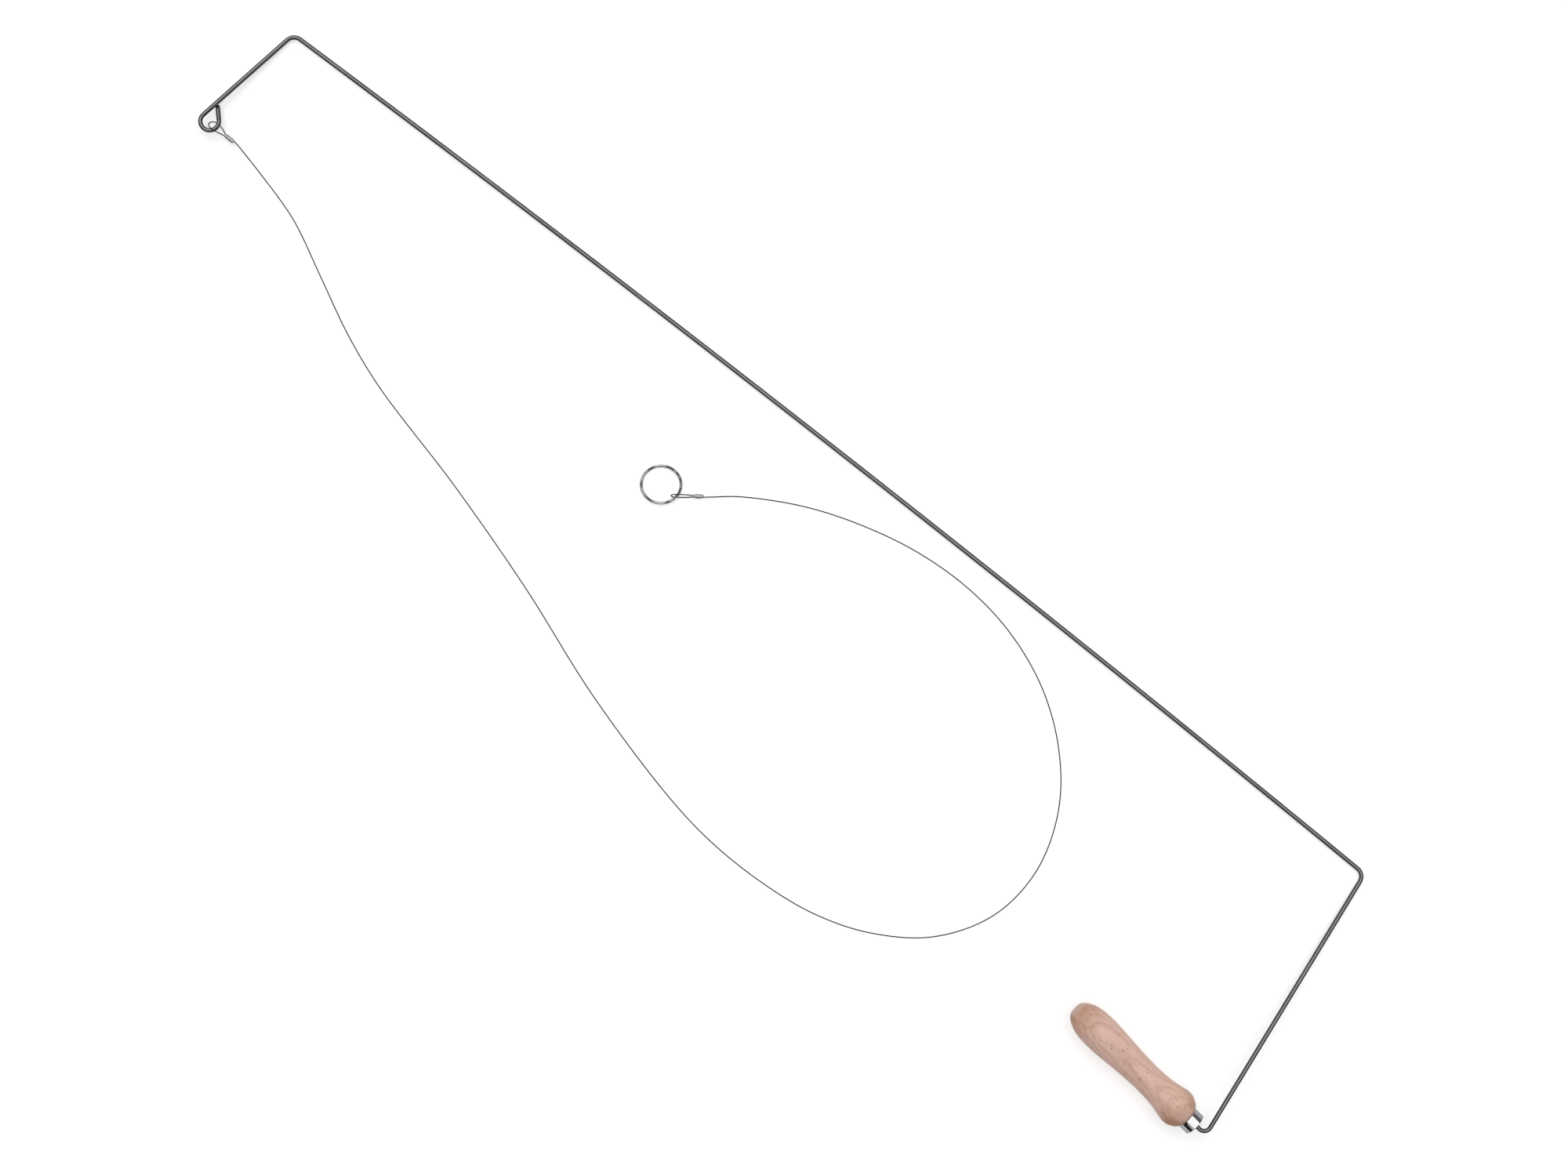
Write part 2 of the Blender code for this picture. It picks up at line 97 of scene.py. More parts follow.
# The cutting wire, its sleeves and its ring.
WIRE_RADIUS = 0.00045
WIRE_STEP = 0.00036                    # between the strand's rings of points
STRAND_COUNT = 6
STRAND_LAY = 0.0100                    # the length in which a strand goes once round
STRAND_OUTLINE = ((-30, 1.0), (-14, 0.15), (14, 0.15))   # (degrees from its crown, groove)
SLEEVE_RADIUS = 0.0016
SLEEVE_SIDES = 40
SLEEVE_STEPS = 36
SLEEVE_EDGE = 0.00022                  # radius of the rounding at the ends
STRAND_PITCH = 0.0011                  # between the two strands inside a sleeve
STRAND_GAP = 0.0003
BITES = (0.30, 0.70)                   # where the crimping tool bit, as shares of the length
BITE_WIDTH = 0.13
BITE_DEPTH = 0.15                      # shares of the sleeve's radius
BITE_SPREAD = 0.035
EYE_SLEEVE_LENGTH = 0.0076
EYE_SLEEVE_MIDDLE = Vector((-0.5133, 0.0243, 0.00343))
EYE_SLEEVE_AXIS = Vector((0.992, 0.0, -0.124))
EYE_SLEEVE_ACROSS = Vector((0.0, 1.0, 0.0))
RING_SLEEVE_LENGTH = 0.0060
RING_SLEEVE_MIDDLE = Vector((-0.0629, 0.0304, 0.00165))
RING_SLEEVE_AXIS = Vector((0.8, 0.6, 0.0))
RING_SLEEVE_ACROSS = Vector((-0.6, 0.8, 0.0))
RING_SEMI_AXES = (0.01525, 0.01425)    # middle of the flat wire that the ring is wound from
RING_WIRE_WIDTH = 0.0019
RING_WIRE_HEIGHT = 0.0009
RING_WIRE_SIDES = 24
RING_COIL_GAP = 0.0001
RING_HINGE = Vector((-0.0761, 0.0205, 0.0024))
RING_MAJOR = math.radians(38.1)        # the ring is slightly oval, with its long axis this way
RING_HINGE_BEARING = math.radians(2.3)
RING_TILT = math.radians(2.75)         # the loop holds that side of the ring up
COIL_START = math.radians(-12)         # bearings of the coil's ends and of its step
STEP_START = math.radians(14)
STEP_END = math.radians(-10)
COIL_END = math.radians(27)
RING_STEPS = 520
COIL_LEAN = math.radians(3.0)          # of the flat wire, changing twice round the ring
COIL_LEAN_PHASE = 0.6
COIL_KINKS = ((128, 14.0), (183, -15.0), (308, 14.0), (70, -8.0), (262, 8.0))   # (bearing, lean)
KINK_WIDTH = math.radians(13)

# The view, the floor, the lamps and the room.
CAMERA_PLACE = (0.0318, 0.0156, 1.8)
CAMERA_TURN = math.radians(38.1)
CAMERA_LENS = 54.0
CAMERA_SENSOR = 36.0
FLOOR_REACH = 30.0
FLOOR_DROP = 0.0001
FLOOR_TONE = (0.50, 0.50, 0.50, 1)
FLOOR_ROUGHNESS = 0.9
FLOOR_GLOW = 0.54
WHITE = (1.0, 1.0, 1.0, 1)
LAMPS = (                              # name, width, radiance, tilt to +Y and lean to -X in degrees
    ("overhead", 80.0, 2.1, 9.0, 8.0),
    ("side", 22.0, 0.8, -41.0, 0.0),
    ("window", 30.0, 1.6, 22.0, 38.0),
)
ROOM_FROM = (-0.2, 0.04)               # a direction's Y, and the room's radiance there
ROOM_TO = (0.9, 0.22)

BOW_PLACE = Matrix.Translation(CORNER_A) @ Matrix.Rotation(-BOW_TILT, 4, "X")

# The wire's centreline, from its tail in the eye's sleeve, round the eye, over the bench,
# and round the ring to its tail in the ring's sleeve.
WIRE_ROUTE = [
    (-0.5104, 0.02375, 0.00306),
    (-0.5133, 0.02375, 0.00343),
    (-0.5171, 0.02375, 0.0039),
    (-0.5196, 0.0232, 0.0051),
    (-0.5231, 0.0221, 0.0091),
    (-0.5267, 0.0218, 0.0104),
    (-0.5299, 0.0223, 0.0092),
    (-0.5316, 0.024, 0.0072),
    (-0.5312, 0.0262, 0.0052),
    (-0.5291, 0.0275, 0.0042),
    (-0.5258, 0.0277, 0.0039),
    (-0.5209, 0.0265, 0.0038),
    (-0.5171, 0.02485, 0.0039),
    (-0.5133, 0.02485, 0.00343),
    (-0.5095, 0.02485, 0.00295),
    (-0.5043, 0.024, 0.0021),
    (-0.4943, 0.0216, 0.0010),
    (-0.4833, 0.0189, 0.0005),
    (-0.4383, 0.006, 0.0005),
    (-0.3948, -0.0154, 0.0005),
    (-0.3513, -0.0373, 0.0005),
    (-0.3079, -0.0541, 0.0005),
    (-0.2139, -0.0787, 0.0005),
    (-0.1228, -0.1068, 0.0005),
    (-0.0331, -0.1392, 0.0005),
    (0.0607, -0.1645, 0.0005),
    (0.1069, -0.1716, 0.0005),
    (0.1555, -0.1723, 0.0005),
    (0.2036, -0.1664, 0.0005),
    (0.2476, -0.1508, 0.0005),
    (0.2872, -0.123, 0.0005),
    (0.3127, -0.0821, 0.0005),
    (0.3174, -0.036, 0.0005),
    (0.3027, 0.0101, 0.0005),
    (0.2744, 0.0472, 0.0005),
    (0.2357, 0.0765, 0.0005),
    (0.1909, 0.0948, 0.0005),
    (0.1448, 0.1022, 0.0005),
    (0.0964, 0.1003, 0.0005),
    (0.0489, 0.09, 0.0005),
    (0.005, 0.0739, 0.0005),
    (-0.0373, 0.0501, 0.0005),
    (-0.0547, 0.0362, 0.0011),
    (-0.05977, 0.03206, 0.00165),
    (-0.06257, 0.02996, 0.00165),
    (-0.06537, 0.02786, 0.00165),
    (-0.06993, 0.02394, 0.0010),
    (-0.07614, 0.01922, 0.0005),
    (-0.07818, 0.01794, 0.0010),
    (-0.07968, 0.01781, 0.0023),
    (-0.07920, 0.01917, 0.0037),
    (-0.07606, 0.02178, 0.0043),
    (-0.07104, 0.02542, 0.0031),
    (-0.06603, 0.02874, 0.00165),
    (-0.06323, 0.03084, 0.00165),
    (-0.06003, 0.03324, 0.00165),
]
ROUTE_FINENESS = 32                    # points of the line between two route points


# Curves and lines

def between(start, end, low, high, t):
    return start.lerp(end, (t - low) / (high - low))


def spline_point(a, b, c, d, share):
    """A point between b and c on the centripetal Catmull-Rom curve through all four."""
    t0 = 0.0
    t1 = t0 + math.sqrt((b - a).length)
    t2 = t1 + math.sqrt((c - b).length)
    t3 = t2 + math.sqrt((d - c).length)
    t = t1 + (t2 - t1) * share
    ab = between(a, b, t0, t1, t)
    bc = between(b, c, t1, t2, t)
    cd = between(c, d, t2, t3, t)
    abc = between(ab, bc, t0, t2, t)
    bcd = between(bc, cd, t1, t3, t)
    return between(abc, bcd, t1, t2, t)


def smooth_line(route, fineness):
    """A dense line along one smooth curve through the route's points."""
    knots = [Vector(point) for point in route]
    knots.insert(0, knots[0] * 2 - knots[1])
    knots.append(knots[-1] * 2 - knots[-2])
    line = []
    for i in range(1, len(knots) - 2):
        for k in range(fineness):
            line.append(spline_point(*knots[i - 1:i + 3], k / fineness))
    line.append(knots[-2])
    return line


def evenly(line, step):
    """Points at an even distance along a line, both of its ends among them."""
    lengths = running_length(line)
    count = max(2, round(lengths[-1] / step))
    points = []
    i = 0
    for k in range(count + 1):
        target = lengths[-1] * k / count
        while i < len(line) - 2 and lengths[i + 1] < target:
            i += 1
        points.append(between(line[i], line[i + 1], lengths[i], lengths[i + 1], target))
    return points


def running_length(line):
    lengths = [0.0]
    for a, b in zip(line, line[1:]):
        lengths.append(lengths[-1] + (b - a).length)
    return lengths


def tangents(line):
    found = []
    for i in range(len(line)):
        ahead = line[min(i + 1, len(line) - 1)]
        behind = line[max(i - 1, 0)]
        found.append((ahead - behind).normalized())
    return found


def carried_sides(line, first):
    """A sideways vector at each point, carried along the line without twist."""
    sides = []
    side = first
    for tangent in tangents(line):
        side = (side - tangent * side.dot(tangent)).normalized()
        sides.append(side)
    return sides


def rounded_corner(before, corner, after, radius, steps):
    """The points of the arc that rounds the corner between two straight runs."""
    incoming = (before - corner).normalized()
    outgoing = (after - corner).normalized()
    half = incoming.angle(outgoing) / 2
    middle = corner + (incoming + outgoing).normalized() * (radius / math.sin(half))
    start = corner + incoming * (radius / math.tan(half)) - middle
    turn = math.pi - 2 * half
    axis = outgoing.cross(incoming)
    return [middle + Matrix.Rotation(turn * i / steps, 3, axis) @ start for i in range(steps + 1)]


# Meshes

def new_mesh(name, points, faces, material, uvs=None, sharp_degrees=40):
    mesh = bpy.data.meshes.new(name)
    mesh.from_pydata(points, [], faces)
    if uvs is not None:
        layer = mesh.uv_layers.new(name="run")
        for loop, uv in zip(layer.data, uvs):
            loop.uv = uv
    mesh.shade_smooth()
    mesh.set_sharp_from_angle(angle=math.radians(sharp_degrees))
    mesh.materials.append(material)
    obj = bpy.data.objects.new(name, mesh)
    bpy.context.scene.collection.objects.link(obj)
    return obj


def swept(name, line, sides, section, material, sharp_degrees=40):
    """A solid along a line. section(i, length) lists the (side, up) points at the i-th point."""
    lengths = running_length(line)
    points = []
    for i, (point, tangent, side) in enumerate(zip(line, tangents(line), sides)):
        up = tangent.cross(side)
        for x, y in section(i, lengths[i]):
            points.append(point + side * x + up * y)
    count = len(points) // len(line)
    faces = [list(reversed(range(count)))]
    uvs = [(j / count, 0.0) for j in reversed(range(count))]
    for i in range(len(line) - 1):
        for j in range(count):
            k = (j + 1) % count
            row = i * count
            faces.append([row + j, row + k, row + count + k, row + count + j])
            near, far = j / count, (j + 1) / count
            uvs += [(near, lengths[i]), (far, lengths[i]),
                    (far, lengths[i + 1]), (near, lengths[i + 1])]
    last = (len(line) - 1) * count
    faces.append([last + j for j in range(count)])
    uvs += [(j / count, lengths[-1]) for j in range(count)]
    return new_mesh(name, points, faces, material, uvs, sharp_degrees)


def turned(name, profile, sides, material, place, sharp_degrees=40):
    """A turned solid about local Z. Its (radius, height) profile runs from axis to axis, or closed."""
    points = []
    rows = []
    for radius, height in profile:
        if radius == 0.0:
            rows.append([len(points)] * sides)
            points.append((0.0, 0.0, height))
            continue
        rows.append([len(points) + j for j in range(sides)])
        for j in range(sides):
            angle = 2 * math.pi * j / sides
            points.append((radius * math.cos(angle), radius * math.sin(angle), height))
    if profile[0] == profile[-1]:
        del points[-sides:]
        rows[-1] = rows[0]
    faces = []
    for upper, lower in zip(rows, rows[1:]):
        for j in range(sides):
            k = (j + 1) % sides
            face = [upper[j], lower[j], lower[k], upper[k]]
            faces.append([corner for n, corner in enumerate(face) if corner not in face[:n]])
    obj = new_mesh(name, points, faces, material, sharp_degrees=sharp_degrees)
    obj.matrix_world = place
    return obj


# Materials

# The tones of each finish, in linear light.
STEEL_DEEP = (0.090, 0.091, 0.093, 1)
STEEL_PALE = (0.170, 0.171, 0.174, 1)
STEEL_STAIN = (0.065, 0.060, 0.056, 1)
STEEL_PIT = (0.030, 0.028, 0.026, 1)
WOOD_PINK = (0.690, 0.452, 0.395, 1)
WOOD_TAN = (0.672, 0.455, 0.362, 1)
WOOD_PATCH = (0.530, 0.333, 0.262, 1)
WOOD_GROWTH = (0.420, 0.240, 0.160, 1)
WOOD_MOTTLE = (0.426, 0.263, 0.192, 1)
WOOD_FIBRE = (0.398, 0.234, 0.170, 1)
WOOD_SMALL_FLECK = (0.291, 0.156, 0.097, 1)
WOOD_LARGE_FLECK = (0.213, 0.111, 0.064, 1)
# Brown of the ends, and painted shade on the front's flanks.
WOOD_ENDS_AND_SHADE = (0.370, 0.185, 0.110, 1)
WOOD_BUTT = (0.620, 0.500, 0.440, 1)
WOOD_PORE = (0.200, 0.120, 0.085, 1)
CHROME_CLEAR = (0.46, 0.46, 0.465, 1)
CHROME_SMUDGED = (0.37, 0.367, 0.363, 1)
CHROME_SPECK = (0.16, 0.15, 0.14, 1)
WIRE_DEEP = (0.035, 0.034, 0.034, 1)
WIRE_WORN = (0.080, 0.079, 0.077, 1)
WIRE_SCUFF = (0.030, 0.028, 0.027, 1)
# Painted shade for the grooves between the wire's strands.
WIRE_GROOVE_SHADE = (0.010, 0.009, 0.008, 1)
ALUMINIUM_DEEP = (0.28, 0.28, 0.278, 1)
ALUMINIUM_PALE = (0.46, 0.46, 0.458, 1)
ALUMINIUM_DULL = (0.17, 0.169, 0.166, 1)
ALUMINIUM_DENT = (0.13, 0.13, 0.129, 1)
NICKEL_DEEP = (0.19, 0.188, 0.184, 1)
NICKEL_PALE = (0.33, 0.327, 0.320, 1)
# Painted reflection of the dim room on the split ring.
NICKEL_DARK_REFLECTION = (0.035, 0.034, 0.033, 1)
NICKEL_NICK = (0.04, 0.038, 0.036, 1)
DARK_EDGES = (0.25, 0.25, 0.25, 1)     # specular tint of metal that reflects less edge on


class Shader:
    """A node material, with short calls for the nodes that the finishes here share."""

    def __init__(self, name):
        self.material = bpy.data.materials.new(name)
        self.material.use_nodes = True
        self.nodes = self.material.node_tree.nodes
        self.links = self.material.node_tree.links
        self.surface = self.nodes["Principled BSDF"]

    def set(self, **values):
        """Put constants on the surface's own sockets."""
        for name, value in values.items():
            self.surface.inputs[name.replace("_", " ")].default_value = value

    def out(self, **values):
        """Feed the surface's sockets from nodes."""
        for name, value in values.items():
            self.feed(self.surface.inputs[name.replace("_", " ")], value)

    def feed(self, socket, value):
        if isinstance(value, bpy.types.NodeSocket):
            self.links.new(value, socket)
        else:
            socket.default_value = value

    def node(self, kind, inputs=(), **settings):
        node = self.nodes.new(kind)
        for name, value in settings.items():
            setattr(node, name, value)
        for name, value in dict(inputs).items():
            self.feed(node.inputs[name], value)
        return node

    def run(self, around, along):
        """Coordinates round a swept piece and along it, in turns and metres, scaled."""
        uv = self.node("ShaderNodeUVMap", uv_map="run").outputs["UV"]
        return self.node("ShaderNodeMapping", {
            "Vector": uv, "Scale": (around, along, 1.0)}).outputs["Vector"]

    def local(self, scale=(1.0, 1.0, 1.0), location=(0.0, 0.0, 0.0), tilt=0.0):
        """The piece's own coordinates in metres, scaled, tilted about X and moved."""
        place = self.node("ShaderNodeTexCoord").outputs["Object"]
        return self.node("ShaderNodeMapping", {
            "Vector": place, "Scale": scale, "Rotation": (tilt, 0.0, 0.0),
            "Location": location}).outputs["Vector"]

    def lengthwise(self, share):
        """The piece's own coordinates, with only a share of Z, so that marks run along Z."""
        return self.local((1.0, 1.0, share))

    def noise(self, vector, scale=1.0, detail=3.0, roughness=0.5, distortion=0.0):
        return self.node("ShaderNodeTexNoise", {
            "Vector": vector, "Scale": scale, "Detail": detail, "Roughness": roughness,
            "Distortion": distortion}).outputs["Fac"]

    def ramp(self, value, low, high, start=0.0, end=1.0):
        """The value, as far between start and end as it is between low and high."""
        return self.node("ShaderNodeMapRange", {
            "Value": value, "From Min": low, "From Max": high, "To Min": start,
            "To Max": end}).outputs["Result"]

    def mix(self, share, first, second):
        node = self.node("ShaderNodeMix", data_type="RGBA", blend_type="MIX")
        for socket, value in ((node.inputs[0], share), (node.inputs[6], first),
                              (node.inputs[7], second)):
            self.feed(socket, value)
        return node.outputs[2]

    def math(self, operation, first, second=0.5):
        node = self.node("ShaderNodeMath", operation=operation)
        self.feed(node.inputs[0], first)
        self.feed(node.inputs[1], second)
        return node.outputs[0]

    def flecks(self, scale, share, size):
        """Scattered dashes along Z with ragged edges: 1 inside them and 0 outside."""
        away = self.node("ShaderNodeTexVoronoi", {
            "Vector": self.lengthwise(share), "Scale": scale, "Randomness": 1.0},
            feature="F1").outputs["Distance"]
        ragged = self.noise(self.lengthwise(share), scale * 9, detail=2.0)
        away = self.math("ADD", away, self.ramp(ragged, 0.3, 0.7, -0.35 * size, 0.35 * size))
        return self.ramp(away, size, size * 0.55)

    def bump(self, height, distance, strength):
        node = self.node("ShaderNodeBump", {"Height": height, "Distance": distance,
                                            "Strength": strength})
        self.links.new(node.outputs["Normal"], self.surface.inputs["Normal"])


def rod_steel():
    """Drawn steel rod: fine streaks along it, darker stains and a few pits."""
    s = Shader("drawn_steel")
    streaks = s.noise(s.run(26.0, 22.0), detail=4.0, roughness=0.65)
    stains = s.noise(s.run(2.0, 60.0), detail=3.0, roughness=0.6)
    pits = s.noise(s.run(14.0, 1600.0), detail=2.0, roughness=0.5)
    tone = s.mix(s.ramp(streaks, 0.35, 0.68), STEEL_DEEP, STEEL_PALE)
    tone = s.mix(s.ramp(stains, 0.52, 0.72, 0.0, 0.40), tone, STEEL_STAIN)
    tone = s.mix(s.ramp(pits, 0.66, 0.74, 0.0, 0.7), tone, STEEL_PIT)
    height = s.math("SUBTRACT", streaks, s.ramp(pits, 0.66, 0.74, 0.0, 0.8))
    s.out(Base_Color=tone, Roughness=s.ramp(streaks, 0.3, 0.7, 0.20, 0.30))
    s.set(Metallic=1.0, Specular_Tint=DARK_EDGES)
    s.bump(height, 0.00002, 0.6)
    return s.material


def growth_lines(s):
    """The wood's growth rings, centred far below the handle and tilted against its axis."""
    return s.node("ShaderNodeTexWave", {
        "Vector": s.local((0.8, 1.06, 0.30), (0.003, 0.050, 0.0), -0.36), "Scale": 118.0,
        "Distortion": 2.0, "Detail": 2.0, "Detail Scale": 1.2, "Detail Roughness": 0.5},
        wave_type="RINGS", rings_direction="Z").outputs["Fac"]


def browner_ends_and_flank_shade(s, place, patches):
    """How much browner the wood is at the butt and on the front, with painted shade that deepens the
    front toward its flanks, most on the -X side.
    """
    # Painted shade: the front darkens toward both flanks, and more on the -X side, where the light
    # falls off.
    flanks = s.math("MAXIMUM", s.ramp(s.math("ABSOLUTE", place["X"]), 0.003, 0.010, 0.35, 1.0),
                    s.ramp(place["X"], -0.002, -0.008, 0.35, 1.7))
    front = s.math("MULTIPLY", s.ramp(place["Z"], 0.094, 0.111), flanks)
    ends = s.math("MAXIMUM", s.ramp(place["Z"], 0.020, 0.002), front)
    ends = s.math("MULTIPLY", ends, s.ramp(patches, 0.30, 0.60, 0.45, 1.0))
    return s.math("MULTIPLY", ends, 0.80)


def with_end_grain(s, place, tone):
    """The tone, paler on the butt's face, and with pores there."""
    butt = s.ramp(place["Z"], 0.0024, 0.0006, 0.0, 0.35)
    tone = s.mix(butt, tone, WOOD_BUTT)
    pores = s.noise(s.lengthwise(0.3), 1900.0, detail=2.0, roughness=0.6)
    return s.mix(s.math("MULTIPLY", butt, s.ramp(pores, 0.52, 0.66)), tone, WOOD_PORE)


def beech():
    """Turned beech: pinkish, with soft growth lines, short ray flecks, browner ends and painted shade
    on the front's flanks.
    """
    s = Shader("turned_beech")
    patches = s.noise(s.lengthwise(0.45), 120.0, detail=3.0, roughness=0.55, distortion=0.5)
    tints = s.noise(s.local((1.0, 1.0, 0.5), (0.3, 0.1, 0.2)), 210.0, detail=2.0)
    fibres = s.noise(s.lengthwise(0.08), 1300.0, detail=4.0, roughness=0.65)
    mottle = s.noise(s.lengthwise(0.5), 700.0, detail=3.0, roughness=0.6)
    small = s.flecks(500.0, 0.28, 0.20)
    large = s.flecks(290.0, 0.25, 0.135)
    place = s.node("ShaderNodeSeparateXYZ", {"Vector": s.local()}).outputs
    tone = s.mix(s.ramp(tints, 0.38, 0.62), WOOD_PINK, WOOD_TAN)
    tone = s.mix(s.ramp(patches, 0.44, 0.68, 0.0, 0.55), tone, WOOD_PATCH)
    tone = s.mix(s.ramp(growth_lines(s), 0.62, 1.0, 0.0, 0.36), tone, WOOD_GROWTH)
    tone = s.mix(s.ramp(mottle, 0.50, 0.75, 0.0, 0.38), tone, WOOD_MOTTLE)
    tone = s.mix(s.ramp(fibres, 0.45, 0.75, 0.0, 0.36), tone, WOOD_FIBRE)
    tone = s.mix(s.math("MULTIPLY", small, 0.55), tone, WOOD_SMALL_FLECK)
    tone = s.mix(s.math("MULTIPLY", large, 0.85), tone, WOOD_LARGE_FLECK)
    tone = s.mix(browner_ends_and_flank_shade(s, place, patches), tone, WOOD_ENDS_AND_SHADE)
    tone = with_end_grain(s, place, tone)
    relief = s.math("SUBTRACT", s.math("MULTIPLY", fibres, 0.6), s.math("MULTIPLY", large, 0.7))
    s.out(Base_Color=tone, Roughness=s.ramp(fibres, 0.3, 0.7, 0.48, 0.64))
    s.set(IOR=1.46)
    s.bump(relief, 0.00005, 0.5)
    return s.material


def ferrule_chrome():
    """Chromed tube: fine polishing lines round it, faint smudges and specks."""
    s = Shader("polished_chrome")
    lines = s.noise(s.local((0.05, 0.05, 1.0)), 9000.0, detail=2.0, roughness=0.6)
    smudges = s.noise(s.local(), 260.0, detail=4.0, roughness=0.6, distortion=0.6)
    specks = s.noise(s.local(), 2600.0, detail=2.0)
    tone = s.mix(s.ramp(smudges, 0.40, 0.75), CHROME_CLEAR, CHROME_SMUDGED)
    tone = s.mix(s.ramp(specks, 0.68, 0.76, 0.0, 0.6), tone, CHROME_SPECK)
    smudged = s.ramp(smudges, 0.35, 0.75, 0.03, 0.09)
    rough = s.math("ADD", smudged, s.ramp(lines, 0.3, 0.7, 0.0, 0.03))
    s.out(Base_Color=tone, Roughness=rough)
    s.set(Metallic=1.0, Specular_Tint=DARK_EDGES)
    s.bump(lines, 0.000006, 0.5)
    return s.material


def wire_steel():
    """Stranded wire: dull crowns, scuffs, and grooves between the strands darkened with painted shade.
    """
    s = Shader("strand_steel")
    groove = s.node("ShaderNodeAttribute", attribute_name="groove").outputs["Fac"]
    blotches = s.noise(s.run(3.0, 90.0), detail=3.0, roughness=0.6)
    scuffs = s.noise(s.run(18.0, 2400.0), detail=2.0, roughness=0.6)
    tone = s.mix(s.ramp(blotches, 0.35, 0.7), WIRE_DEEP, WIRE_WORN)
    tone = s.mix(s.ramp(scuffs, 0.55, 0.8, 0.0, 0.5), tone, WIRE_SCUFF)
    # Painted shade: the grooves between the strands are darkened almost to black.
    tone = s.mix(s.ramp(groove, 0.25, 0.95, 0.0, 0.85), tone, WIRE_GROOVE_SHADE)
    s.out(Base_Color=tone, Roughness=s.ramp(blotches, 0.3, 0.7, 0.46, 0.32))
    s.set(Metallic=1.0)
    s.bump(scuffs, 0.00001, 0.5)
    return s.material


def sleeve_aluminium():
    """Soft aluminium: scratched along its length, and dulled where the tool pressed it."""
    s = Shader("crimped_aluminium")
    scratches = s.noise(s.lengthwise(0.12), 5200.0, detail=3.0, roughness=0.7)
    dull = s.noise(s.local(), 700.0, detail=3.0, roughness=0.6, distortion=0.3)
    dents = s.node("ShaderNodeAttribute", attribute_name="press").outputs["Fac"]
    tone = s.mix(s.ramp(scratches, 0.38, 0.7), ALUMINIUM_DEEP, ALUMINIUM_PALE)
    tone = s.mix(s.ramp(dull, 0.5, 0.75, 0.0, 0.45), tone, ALUMINIUM_DULL)
    tone = s.mix(s.ramp(dents, 0.3, 1.0, 0.0, 0.45), tone, ALUMINIUM_DENT)
    s.out(Base_Color=tone, Roughness=s.ramp(scratches, 0.3, 0.75, 0.42, 0.24))
    s.set(Metallic=1.0)
    s.bump(s.math("ADD", scratches, s.math("MULTIPLY", dull, 0.6)), 0.00003, 0.6)
    return s.material


def ring_nickel():
    """Nickel-plated spring steel: streaks along the coil, and long dark stretches of painted
    reflection.
    """
    s = Shader("nickel_with_painted_reflections")
    streaks = s.noise(s.run(30.0, 60.0), detail=4.0, roughness=0.65)
    blotches = s.noise(s.run(0.6, 110.0), detail=1.0)
    nicks = s.noise(s.run(24.0, 2600.0), detail=2.0)
    tone = s.mix(s.ramp(streaks, 0.35, 0.7), NICKEL_DEEP, NICKEL_PALE)
    # Painted reflection: long near-black stretches stand in for the dim room mirrored in the coil.
    tone = s.mix(s.ramp(blotches, 0.45, 0.58, 0.0, 0.90), tone, NICKEL_DARK_REFLECTION)
    tone = s.mix(s.ramp(nicks, 0.66, 0.74, 0.0, 0.6), tone, NICKEL_NICK)
    s.out(Base_Color=tone, Roughness=s.ramp(streaks, 0.3, 0.7, 0.10, 0.20))
    s.set(Metallic=1.0, Specular_Tint=DARK_EDGES)
    s.bump(s.math("SUBTRACT", streaks, nicks), 0.00001, 0.5)
    return s.material


# The bow rod

def direction(angle):
    return Vector((math.cos(angle), math.sin(angle), 0.0))


SHORT_ARM = direction(math.radians(-90) - SHORT_ARM_LEAN)
LONG_ARM_AXIS = direction(math.radians(-90) + LONG_ARM_LEAN)
HANDLE_AXIS = direction(-TANG_TURN)
CORNER_B = Vector((LONG_ROD, 0.0, 0.0))
HANDLE_BEND = CORNER_B + LONG_ARM_AXIS * LONG_ARM
FERRULE_FRONT = HANDLE_BEND - HANDLE_AXIS * BEND_TO_FERRULE
INWARD = Vector((-SHORT_ARM.y, SHORT_ARM.x, 0.0))
EYE_MIDDLE = SHORT_ARM * EYE_FOOT + INWARD * EYE_RADIUS


def bowl_point(swept_angle):
    return EYE_MIDDLE - Matrix.Rotation(swept_angle, 3, "Z") @ INWARD * EYE_RADIUS


def ducked(point, run):
    """The point, lowered for its share of the run that takes the rod's end under the arm."""
    steepening = min(run, EYE_DIP_EASE)
    lowered = steepening ** 2 / (2 * EYE_DIP_EASE) + max(0.0, run - EYE_DIP_EASE)
    return point - Vector((0.0, 0.0, EYE_DIP * lowered / (1 - EYE_DIP_EASE / 2)))


def eye_points(steps, leg_steps):
    run_length = EYE_RADIUS * (EYE_SWEEP - EYE_DIP_START) + EYE_LEG
    points = []
    for i in range(steps + 1):
        angle = EYE_SWEEP * i / steps
        run = max(0.0, EYE_RADIUS * (angle - EYE_DIP_START)) / run_length
        points.append(ducked(bowl_point(angle), run))
    leg = Matrix.Rotation(EYE_SWEEP, 3, "Z") @ SHORT_ARM
    for i in range(1, leg_steps + 1):
        along = EYE_LEG * i / leg_steps
        run = (run_length - EYE_LEG + along) / run_length
        points.append(ducked(bowl_point(EYE_SWEEP) + leg * along, run))
    return points


def straight(start, end, steps):
    """The points between two ends, without the ends."""
    return [start.lerp(end, i / steps) for i in range(1, steps)]


def long_rod():
    """The long rod's points from corner A to corner B, along its shallow bow."""
    points = []
    for i in range(LONG_ROD_STEPS + 1):
        t = i / LONG_ROD_STEPS
        points.append(Vector((LONG_ROD * t, 4 * ROD_BULGE * t * (1 - t), 0.0)))
    return points


